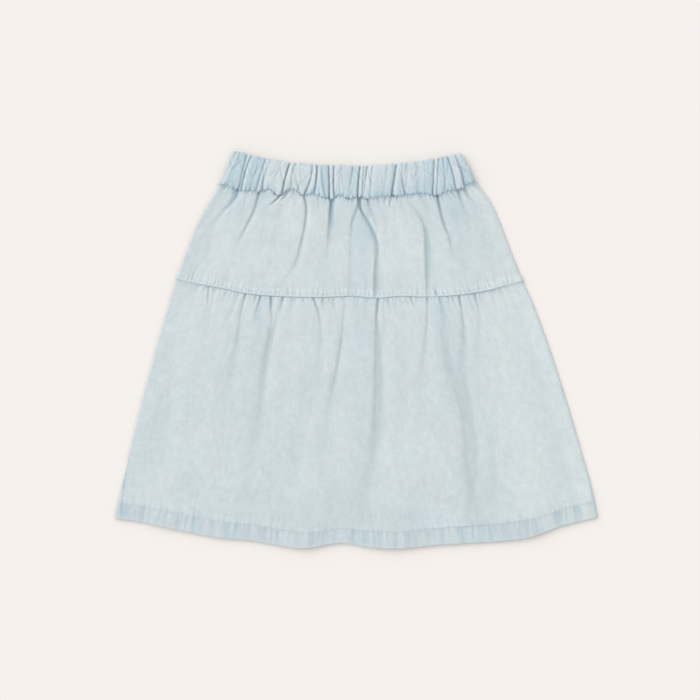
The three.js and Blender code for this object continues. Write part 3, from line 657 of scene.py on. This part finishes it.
def waistband_tones(grid, relief, teeth):
    blue = 0.2 + 0.08 * smoothstep(60, 120, np.abs(grid.x + 9)) + 0.8 * fade_out(grid.from_low, 4.6)
    # Painted shade: a dark line along the waist seam, darkest at its beads, dark cores in the deepest
    # grooves, and darker still where bluest.
    crease_shade_and_dye = beaded(grid.low_x) * (0.1 + 0.3 * teeth) * bell(grid.from_low, 1.2)
    if grid.face == FRONT:
        blue += 1.25 * grooves(BAND_BLUE, grid, sharpness=3, shoulder=0)
        cores = grooves(BAND_FRONT_GROOVES, grid, sharpness=2, shoulder=0)
        crease_shade_and_dye += 0.22 * np.clip(cores - 1.8, 0, 2)
    crease_shade_and_dye += 0.12 * np.maximum(blue - 1, 0)
    return cloth_tones(ridge_wear_crease_shade(relief, 9, 0.9), blue, crease_shade_and_dye)


def back_grooves():
    """The grooves of the back, which is gathered as much as the front and as unevenly."""
    chance = np.random.default_rng(21)
    table = []
    place = -121.0
    while place < 102:
        low = place * 1.1 + chance.uniform(-2, 2)
        depth = chance.uniform(1.4, 2.8)
        table.append((place, mix(place, low, 0.6), low, depth, depth * chance.uniform(0.6, 1.1), 1.4))
        place += chance.uniform(5, 11)
    return table


TUCKED = {FRONT: 2.4, BACK: 0}  # how far a gathered edge runs on under the piece above it
OFF_SURFACE = 0.34  # how far the back's cloth stands off the surface that it lies on
BACK_DEEPEST = 1.2  # the back's folds are pressed nearly flat
UPPER_LOWEST = 2.9  # the front of the upper tier comes no lower than this, clear of its back
LOWER_LOWEST = 2.8  # and so does the front of the lower tier


def upper_tier(face):
    rows = spaced((0.14, 26), (0.88, 56), (0.96, 10), (1, 12))
    grid = lay_out(
        face, WAIST_SEAM, TIER_SEAM, rows, 680 if face == FRONT else 300,
        lambda t: mix(4.6, FLAT, smoothstep(0, 0.35, t)), tucked=TUCKED[face],
    )
    gathers = puckers(grid.top_x, grid.from_top, 3.6, 0.9, 4, seed=31 + face, lean=0.35)
    gathers += puckers(grid.top_x, grid.from_top, 9, 0.8, 16, seed=33 + face, lean=0.25)
    pressed = puckers(grid.low_x, grid.from_low, 4.2, 1.0, 9, seed=41 + face)
    if face == FRONT:
        cut = troughs(UPPER_TROUGHS, grid.x, grid.y) * mix(0.4, 1, smoothstep(-1, 6, grid.from_low))
        relief = crisper(1.9 * inside(grid, 34) - inside(grid, 9) * cut - gathers, 4, 0.4)
        relief = np.maximum(relief, UPPER_LOWEST - grid.z) + 0.4 * fade_out(grid.from_low, 8)
        ridge = smoothstep(-0.2, 1.2, grid.from_low) * (1 - smoothstep(4.5, 9, grid.from_low))
        relief = relief + 0.9 * ridge - pressed * smoothstep(0.4, 3.6, grid.from_low)
        relief -= 0.7 * (1 - rounded(grid.from_low + 0.05, 1.2))
        tucked = rounded(grid.from_top + 0.3, 3.4)
        under = mix(3.6, 0.8, beaded(grid.top_x)) + 1.5 * np.minimum(grid.from_top, 0)
        grid.height = mix(under, relief, tucked)
    else:
        mirrored = troughs(UPPER_TROUGHS, -grid.x - 12, grid.y)
        relief = -0.35 * inside(grid, 9) * np.minimum(mirrored, 2.2) - 0.5 * (gathers + pressed)
        cut = 0
        ditch = bell(grid.from_top, 1.0) + bell(grid.from_low, 0.9)
        grid.height = np.maximum(relief, -BACK_DEEPEST) - OFF_SURFACE - 0.35 * ditch
    return grid, CLOTH, upper_tones(grid, relief, cut, gathers, pressed)


def upper_tones(grid, relief, cut, gathers, pressed):
    wash = washed(grid.x, grid.y)
    blue = 0.2 + 0.9 * fade_out(grid.from_top, 7) + wash
    blue += 0.6 * bell(grid.from_low, 3) + 0.5 * pressed * smoothstep(0, 3, grid.from_low)
    # Painted shade: dark along the waist seam's beads and the tier seam, in the deepest fold troughs, and
    # darker still where bluest.
    crease_shade_and_dye = beaded(grid.top_x) * (0.1 + 0.3 * gathers) * bell(grid.from_top, 1.2)
    crease_shade_and_dye += 0.05 * bell(grid.from_low, 0.7) + 0.2 * np.maximum(blue - 1, 0)
    crease_shade_and_dye += 0.5 * np.clip(cut - 1.5, 0, 1.5)
    wear_and_painted_light = ridge_wear_crease_shade(relief, 4, 0.42) + 0.9 * hump(grid.from_low, 1.5, 1.0) + right_fold_painted_light(grid)
    return cloth_tones(wear_and_painted_light + 0.5 * np.maximum(-wash, 0), blue, crease_shade_and_dye)


def lower_front_height(grid, t):
    """How far the lower tier's front and its hem stand above the laid tube, t down the tier."""
    rest = mix(2.2, 1.8, smoothstep(0, 0.5, t)) * mix(1, 0.25, smoothstep(0.8, 1, t))
    shallower = mix(1, 0.35, smoothstep(0.7, 1.05, t)) * inside(grid, 9)
    rise = hem_rise(grid.x) * smoothstep(0.6, 1, t)
    folds = mix(0.72, 1.3, smoothstep(0.04, 0.2, t)) * troughs(LOWER_TROUGHS, grid.x, grid.y)
    return (rest + rise) * inside(grid, 44) - shallower * folds


def rolled_above(t):
    """How far the left seam has rolled onto the front, down the lower tier."""
    return ROLL_AT_HEM_LINE * np.clip((t - ROLL_STARTS) / (1 - ROLL_STARTS), 0, 1)


def stitch_ditch(distance):
    return 0.015 * bell(distance, 1.2)


def hem_puckers(face, along, away, reach):
    """The puckers of the hem's stitching, drawn alike above and below it so that both pieces meet."""
    return puckers(along, away, 5.0, 0.36, reach, seed=61 + face)


def hem_line_shade(x, distance):
    """Painted shade along the hem's stitching, a faint dark line, lost at the left and plainest at the
    right.
    """
    strength = 0.05 + 0.15 * smoothstep(-180, -80, x) + 0.2 * hump(x, 126, 36)
    return strength * bell(distance, 0.8)


def lower_tier(face):
    rows = spaced((0.04, 16), (0.16, 28), (0.93, 54), (1, 14))
    grid = lay_out(
        face, TIER_SEAM, HEM_LINE, rows, 700 if face == FRONT else 320,
        lambda t: mix(FLAT, HEM_TOP, smoothstep(0.9, 1, t)),
        tucked=TUCKED[face], roll=rolled_above, edge_reach=14,
    )
    gathers = puckers(grid.top_x, grid.from_top, 4.0, 0.9, 5, seed=51 + face, lean=0.3)
    gathers += puckers(grid.top_x, grid.from_top, 11, 0.7, 22, seed=53 + face)
    gathers *= smoothstep(-0.4, 2.4, grid.from_top)
    stitched = hem_puckers(face, grid.low_x, grid.from_low, 8)
    seam = side_seam(grid) * (grid.t > ROLL_STARTS)
    if face == FRONT:
        plain = lower_front_height(grid, grid.t) - gathers
        above_hem = smoothstep(0, 14, grid.from_low)
        relief = mix(plain, crisper(plain, 3.5, 0.4), above_hem) - stitched - seam
        relief = np.maximum(relief, LOWER_LOWEST - grid.z)
        tucked = rounded(grid.from_top + 0.3, 2.6)
        grid.height = mix(0.9, relief, tucked) - stitch_ditch(grid.from_low)
    else:
        mirrored = np.minimum(troughs(LOWER_TROUGHS, -grid.x + 8, grid.y), 2.2)
        relief = -0.35 * inside(grid, 9) * mirrored - 0.5 * (gathers + stitched) - seam
        ditch = 0.35 * bell(grid.from_top, 0.9)
        grid.height = np.maximum(relief, -BACK_DEEPEST) - OFF_SURFACE - ditch
        grid.height -= stitch_ditch(grid.from_low)
    return grid, CLOTH, lower_tones(grid, relief, gathers)


def lower_tones(grid, relief, gathers):
    wash = washed(grid.x, grid.y)
    blue = 0.15 + 0.6 * fade_out(grid.from_top, 4) + 0.15 * fade_out(grid.from_low, 4)
    blue += wash + 0.35 * gathers * fade_out(grid.from_top, 6)
    # Painted shade: a dark line along the tier seam, the hem's stitching and the rolled side seam.
    crease_shade_and_dye = 0.08 * hump(grid.from_top, 0.2, 0.9) + hem_line_shade(grid.x, grid.from_low)
    crease_shade_and_dye += SEAM_SHADE * seam_line(grid) * (grid.t > ROLL_STARTS)
    wear_and_painted_light = ridge_wear_crease_shade(relief, 3, 0.42) + right_fold_painted_light(grid) + 0.5 * np.maximum(-wash, 0)
    if grid.face == FRONT:
        cut = troughs(LOWER_TROUGHS, grid.x, grid.y)
        # Painted shade in the folds: dark cores in the deepest troughs, the troughs painted darker, and
        # the cloth painted darker just above the middle of the hem.
        crease_shade_and_dye += 0.2 * np.clip(cut - 1.9, 0, 1.5)
        wear_and_painted_light -= 0.3 * np.minimum(cut, 2) * smoothstep(0.04, 0.2, grid.t)
        wear_and_painted_light -= 0.35 * hump(grid.x, -35, 90) * hump(grid.from_low, 12, 14)
    return cloth_tones(wear_and_painted_light, blue, crease_shade_and_dye)


def hem(face):
    rows = spaced((0.15, 6), (0.85, 10), (1, 7))
    grid = lay_out(
        face, HEM_LINE, HEM_EDGE, rows, 700 if face == FRONT else 320,
        lambda t: np.full_like(t, HEM_TOP),
        roll=lambda t: mix(ROLL_AT_HEM_LINE, ROLL_AT_HEM_EDGE, t), edge_reach=14,
    )
    stitched = hem_puckers(face, grid.top_x, grid.from_top, 9)
    streaks = puckers(grid.top_x, 0.35 * grid.from_top, 7.0, 0.42, 9, seed=71 + face, lean=0.3)
    clusters = puckers(grid.top_x, 0.2 * grid.from_top, 16, 1.0, 9, seed=81 + face, lean=0.4)
    below_line = smoothstep(0, 4, grid.from_top)
    relief = -stitched - (streaks + 0.4 * clusters) * below_line - side_seam(grid)
    if face == FRONT:
        relief += lower_front_height(grid, np.ones_like(grid.x))
        relief = np.maximum(relief, LOWER_LOWEST - grid.z)
    else:
        relief = 0.5 * relief - OFF_SURFACE
    edge = rounded(grid.from_low + 0.1, 1.6)
    grid.height = relief - stitch_ditch(grid.from_top) - HEM * (1 - edge) * 0.4
    # The lower edge is paler, rubbed and also painted with light against the shade where it turns down;
    # the hem line and the side seam are painted with shade.
    blue = 0.25 + 0.7 * clusters + 0.4 * streaks + washed(grid.x, grid.y)
    blue -= 0.3 * fade_out(grid.from_low, 2)
    crease_shade_and_dye = hem_line_shade(grid.x, grid.from_top) + SEAM_SHADE * seam_line(grid)
    wear_and_painted_light = ridge_wear_crease_shade(relief, 4, 0.4) + 0.9 * fade_out(grid.from_low, 0.8) + right_fold_painted_light(grid)
    return grid, HEM * edge + 0.05, cloth_tones(wear_and_painted_light, blue, crease_shade_and_dye)


# ---- stitches ----

STITCH_PITCH = 3.3
STITCH_LENGTH = 2.4
STITCH_SIDES = 6
# One stitch from end to end: share of its length, height over the cloth, radius.
STITCH_SHAPE = [
    (0, -0.1, 0.08), (0.15, 0.02, 0.17), (0.5, 0.06, 0.18), (0.85, 0.02, 0.17), (1, -0.1, 0.08),
]


def row_over(grid, distance, wanted):
    """The line on a grid's face at the wanted distance from an edge, and the way out along it."""
    t = (distance[0] - wanted) / (distance[0] - distance[-1])
    row = np.interp(t, grid.t[:, 0], np.arange(len(grid.t)))
    upper = np.floor(row).astype(int)
    share = (row - upper)[:, None]
    columns = np.arange(len(row))
    points = surface(grid)
    line = mix(points[upper, columns], points[upper + 1, columns], share)
    out = np.stack([grid.out_x, np.zeros_like(grid.out_x), grid.out_z], axis=-1)[upper, columns]
    return line, out


def stitches(name, grid, distance, wanted, material):
    """A row of stitches as one mesh, each a short thread whose ends dip into the cloth."""
    line, out = row_over(grid, distance, wanted)
    along = np.concatenate([[0], np.cumsum(np.linalg.norm(np.diff(line, axis=0), axis=1))])
    starts = np.arange(STITCH_PITCH / 2, along[-1] - STITCH_LENGTH, STITCH_PITCH)
    share, lift, radius = np.array(STITCH_SHAPE).T
    asked = starts[:, None] + share * STITCH_LENGTH
    centre = np.stack([np.interp(asked, along, line[:, axis]) for axis in range(3)], axis=-1)
    up = np.stack([np.interp(asked, along, out[:, axis]) for axis in range(3)], axis=-1)
    centre += up * lift[None, :, None]
    run = centre[:, -1:] - centre[:, :1]
    side = np.cross(up, run)
    side /= np.linalg.norm(side, axis=-1, keepdims=True)
    angle = np.arange(STITCH_SIDES) * 2 * math.pi / STITCH_SIDES
    round_it = side[:, :, None] * np.cos(angle)[:, None] + up[:, :, None] * np.sin(angle)[:, None]
    points = centre[:, :, None] + round_it * radius[None, :, None, None]
    index = np.arange(points.size // 3).reshape(points.shape[:3])
    closed = np.concatenate([index, index[:, :, :1]], axis=2)
    faces = [face for stitch in closed for face in quads(stitch).tolist()]
    faces += index[:, 0, ::-1].tolist() + index[:, -1].tolist()
    mesh = bpy.data.meshes.new(name)
    mesh.from_pydata(points.reshape(-1, 3).tolist(), [], faces)
    mesh.polygons.foreach_set("use_smooth", [True] * len(faces))
    mesh.materials.append(material)
    row = add_object(name, mesh)
    return row


# ---- materials ----


class Shader:
    """Nodes of one material, made and joined by short calls."""

    def __init__(self, name):
        self.material = bpy.data.materials.new(name)
        self.material.use_nodes = True
        self.tree = self.material.node_tree
        self.surface = self.tree.nodes["Principled BSDF"]

    def node(self, kind, inputs=(), **settings):
        made = self.tree.nodes.new(kind)
        for key, value in settings.items():
            setattr(made, key, value)
        for key, value in dict(inputs).items():
            self.feed(made.inputs[key], value)
        return made

    def feed(self, socket, value):
        """Joins another node's output to a socket, or sets the socket's own value."""
        if isinstance(value, bpy.types.NodeSocket):
            self.tree.links.new(value, socket)
        else:
            socket.default_value = value

    def finished(self, inputs):
        """The material, once the sockets of its surface are fed."""
        for name, value in inputs.items():
            self.feed(self.surface.inputs[name], value)
        return self.material

    def cloth(self, across, down):
        """The cloth's own coordinates, with so many steps to the metre each way."""
        uv = self.node("ShaderNodeUVMap", uv_map="cloth").outputs["UV"]
        return self.node(
            "ShaderNodeVectorMath", {0: uv, 1: (across, down, 1)}, operation="MULTIPLY"
        ).outputs["Vector"]

    def noise(self, across, down, detail=2.0, roughness=0.5):
        return self.node(
            "ShaderNodeTexNoise",
            {"Vector": self.cloth(across, down), "Scale": 1.0, "Detail": detail, "Roughness": roughness},
        ).outputs["Fac"]

    def attribute(self, name):
        return self.node("ShaderNodeAttribute", attribute_name=name).outputs["Fac"]

    def ramp(self, value, low, high, to_low=0.0, to_high=1.0):
        return self.node(
            "ShaderNodeMapRange",
            {"Value": value, "From Min": low, "From Max": high, "To Min": to_low, "To Max": to_high},
        ).outputs["Result"]

    def math(self, operation, a, b):
        return self.node("ShaderNodeMath", {0: a, 1: b}, operation=operation).outputs["Value"]

    def total(self, *terms):
        """The sum of (value, weight) pairs."""
        parts = [self.math("MULTIPLY", value, weight) for value, weight in terms]
        result = parts[0]
        for part in parts[1:]:
            result = self.math("ADD", result, part)
        return result

    def blend(self, factor, a, b, kind="MIX"):
        made = self.node("ShaderNodeMix", data_type="RGBA", blend_type=kind)
        for index, value in ((0, factor), (6, a), (7, b)):
            self.feed(made.inputs[index], value)
        return made.outputs[2]


# The dark blue of painted shade in creases and seams, and of the bluest places.
CREASE_SHADE_COLOUR = (0.17, 0.265, 0.33, 1)
# Each cloth's colours: as the wash left it, where it kept more blue, painted shade in creases, and rubbed
# bare, which also carries painted light.
COLOURS = {
    "tier": [(0.569, 0.625, 0.636, 1), (0.445, 0.553, 0.603, 1),
             (0.38, 0.455, 0.48, 1), (0.67, 0.705, 0.71, 1)],
    "waistband": [(0.59, 0.635, 0.645, 1), (0.362, 0.507, 0.576, 1),
                  (0.27, 0.375, 0.44, 1), (0.69, 0.725, 0.73, 1)],
    "hem": [(0.542, 0.598, 0.612, 1), (0.41, 0.522, 0.572, 1),
            (0.38, 0.475, 0.52, 1), (0.65, 0.685, 0.69, 1)],
}


def denim_colour(shader, pale, blue, deep_shade, rubbed_and_lit):
    """The wash with its mottling, bluer places, pale rubbed ridges, painted light on the right fold and
    the hem's edge, and painted shade in creases and seams.
    """
    clouds = shader.ramp(shader.noise(13, 9, 2), 0.36, 0.66)
    wash = shader.ramp(shader.noise(44, 34, 4, 0.6), 0.34, 0.66)
    mottle = shader.ramp(shader.noise(150, 120, 3, 0.6), 0.3, 0.7)
    bluer = shader.total(
        (clouds, 0.08), (wash, 0.12), (mottle, 0.16), (shader.attribute("blue"), 0.75),
    )
    colour = shader.blend(shader.ramp(bluer, 0.1, 1.1), pale, blue)
    wear_and_painted_light = shader.attribute("wear_and_painted_light")
    colour = shader.blend(shader.ramp(wear_and_painted_light, 0.0, 1.0, 0.0, 0.6), colour, rubbed_and_lit)
    colour = shader.blend(shader.ramp(wear_and_painted_light, 0.0, -1.0, 0.0, 0.55), colour, deep_shade)
    crease_shade_and_dye = shader.math("MULTIPLY", shader.attribute("crease_shade_and_dye"), 0.8)
    return shader.blend(crease_shade_and_dye, colour, CREASE_SHADE_COLOUR)


def yarn_shade(shader):
    """How much lighter or darker slubs, single threads, weft streaks and fading leave the cloth."""
    slubs = shader.ramp(shader.noise(760, 60, 2), 0.3, 0.7, 0.968, 1.032)
    threads = shader.ramp(shader.noise(2400, 300, 1), 0.25, 0.75, 0.968, 1.032)
    weft = shader.ramp(shader.noise(110, 900, 2), 0.25, 0.75, 0.965, 1.035)
    fading = shader.ramp(shader.noise(130, 110, 3, 0.7), 0.3, 0.7, 0.95, 1.05)
    broad_fading = shader.ramp(shader.noise(48, 26, 2), 0.3, 0.7, 0.975, 1.025)
    tone = slubs
    for shade in (threads, weft, fading, broad_fading):
        tone = shader.math("MULTIPLY", tone, shade)
    grey = dict.fromkeys(("Red", "Green", "Blue"), tone)
    return shader.node("ShaderNodeCombineColor", grey).outputs["Color"]


def denim(name, colours):
    """Bleached denim: a mottled wash, slubs down the warp, pale ridges, creases darkened with painted
    shade, a twill.
    """
    shader = Shader(name)
    colour = denim_colour(shader, *colours)
    colour = shader.blend(1.0, colour, yarn_shade(shader), "MULTIPLY")
    twill = shader.node(
        "ShaderNodeTexWave",
        {"Vector": shader.cloth(1000, 520), "Scale": 0.5, "Distortion": 0.6, "Detail": 1.0},
        wave_type="BANDS", bands_direction="DIAGONAL",
    ).outputs["Fac"]
    weave = shader.total((twill, 0.5), (shader.noise(1700, 700, 2), 1.0))
    bump = shader.node("ShaderNodeBump", {"Height": weave, "Strength": 0.5, "Distance": 0.0002})
    return shader.finished({
        "Base Color": colour, "Normal": bump.outputs["Normal"], "Roughness": 0.93,
        "Specular IOR Level": 0.25, "Sheen Weight": 0.12, "Sheen Roughness": 0.5,
    })


def thread():
    shader = Shader("thread")
    place = shader.node("ShaderNodeTexCoord").outputs["Object"]
    twist = shader.node("ShaderNodeTexNoise", {"Vector": place, "Scale": 3000.0}).outputs["Fac"]
    colour = shader.blend(twist, (0.54, 0.62, 0.65, 1), (0.62, 0.68, 0.70, 1))
    return shader.finished({"Base Color": colour, "Roughness": 0.7})


def floor_material():
    return Shader("pale_floor").finished({
        "Base Color": (0.80, 0.762, 0.733, 1), "Roughness": 1.0, "Specular IOR Level": 0.0,
    })


# ---- scene ----

# The camera looks straight down. Its sizes are in metres, and its sensor's in millimetres.
PICTURE_WIDTH = 700 * 1.1 * MM  # 700 pixels, each of 1.1 mm
PICTURE_PLANE = 0.004  # the height at which the picture is that wide
CAMERA_HEIGHT = 2.0
CAMERA_X = -0.0065
SENSOR = 36.0


def add_camera():
    camera = bpy.data.cameras.new("camera")
    camera.sensor_width = SENSOR
    camera.lens = SENSOR * (CAMERA_HEIGHT - PICTURE_PLANE) / PICTURE_WIDTH
    camera.dof.use_dof = False
    holder = add_object("camera", camera)
    holder.location = (CAMERA_X, 0, CAMERA_HEIGHT)
    bpy.context.scene.camera = holder


SKY_STRENGTH = 0.793
KEY_STRENGTH = 1.6
KEY_SPREAD = math.radians(64)
KEY_TILT = math.radians(45)
KEY_FROM = math.radians(142)  # round from +X, so it comes from the waist end at the left


def add_studio():
    world = bpy.data.worlds.new("studio")
    world.use_nodes = True
    sky = world.node_tree.nodes["Background"].inputs
    sky["Color"].default_value = (1, 1, 1, 1)
    sky["Strength"].default_value = SKY_STRENGTH
    bpy.context.scene.world = world
    light = bpy.data.lights.new("key", "SUN")
    light.energy = KEY_STRENGTH
    light.angle = KEY_SPREAD
    holder = add_object("key", light)
    holder.rotation_euler = (KEY_TILT, 0, KEY_FROM + math.pi / 2)
    holder.location = (-1, 1, 2)
    bpy.context.scene.view_settings.view_transform = "Standard"
    bpy.context.scene.view_settings.look = "None"


FLOOR_SIZE = 12
FLOOR_HEIGHT = -0.0002


def add_floor():
    bpy.ops.mesh.primitive_plane_add(size=FLOOR_SIZE, location=(0, 0, FLOOR_HEIGHT))
    floor = bpy.context.object
    floor.name = "floor"
    floor.data.materials.append(floor_material())


def centre_on_origin(made):
    """The outline's middle goes over the origin, and each mesh into metres."""
    corners = np.array([[corner[:] for corner in piece.bound_box] for piece in made]).reshape(-1, 3)
    middle = (corners.min(axis=0) + corners.max(axis=0)) / 2
    for piece in made:
        points = np.empty(len(piece.data.vertices) * 3)
        piece.data.vertices.foreach_get("co", points)
        points = (points.reshape(-1, 3) - (middle[0], middle[1], 0)) * MM
        piece.data.vertices.foreach_set("co", points.ravel())
        piece.data.update()


# Rows of stitches: the edge that each follows and its distance from it in millimetres.
STITCH_ROWS = {"upper_tier": ("from_low", 1.9), "hem": ("from_top", 1.3)}


def main():
    add_camera()
    add_studio()
    add_floor()
    looks = {f"{name}_denim": denim(f"{name}_cloth", colours) for name, colours in COLOURS.items()}
    sewing = thread()
    made = []
    for kind, make, slot in (
        ("waistband", waistband, "waistband_denim"), ("upper_tier", upper_tier, "tier_denim"),
        ("lower_tier", lower_tier, "tier_denim"), ("hem", hem, "hem_denim"),
    ):
        for face, side in ((FRONT, "front"), (BACK, "back")):
            grid, wall, tones = make(face)
            piece = cloth_piece(f"{kind}_{side}", grid, wall, tones, looks[slot])
            sewn = []
            if kind in STITCH_ROWS:
                edge, away = STITCH_ROWS[kind]
                distance = getattr(grid, edge)
                sewn.append(stitches(f"{kind}_{side}_stitches", grid, distance, away, sewing))
            made.append((kind, piece, sewn))
    centre_on_origin([one for _, piece, sewn in made for one in (piece, *sewn)])
    for kind, piece, sewn in made:
        for one in (piece, *sewn):
            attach(one, "root")


main()
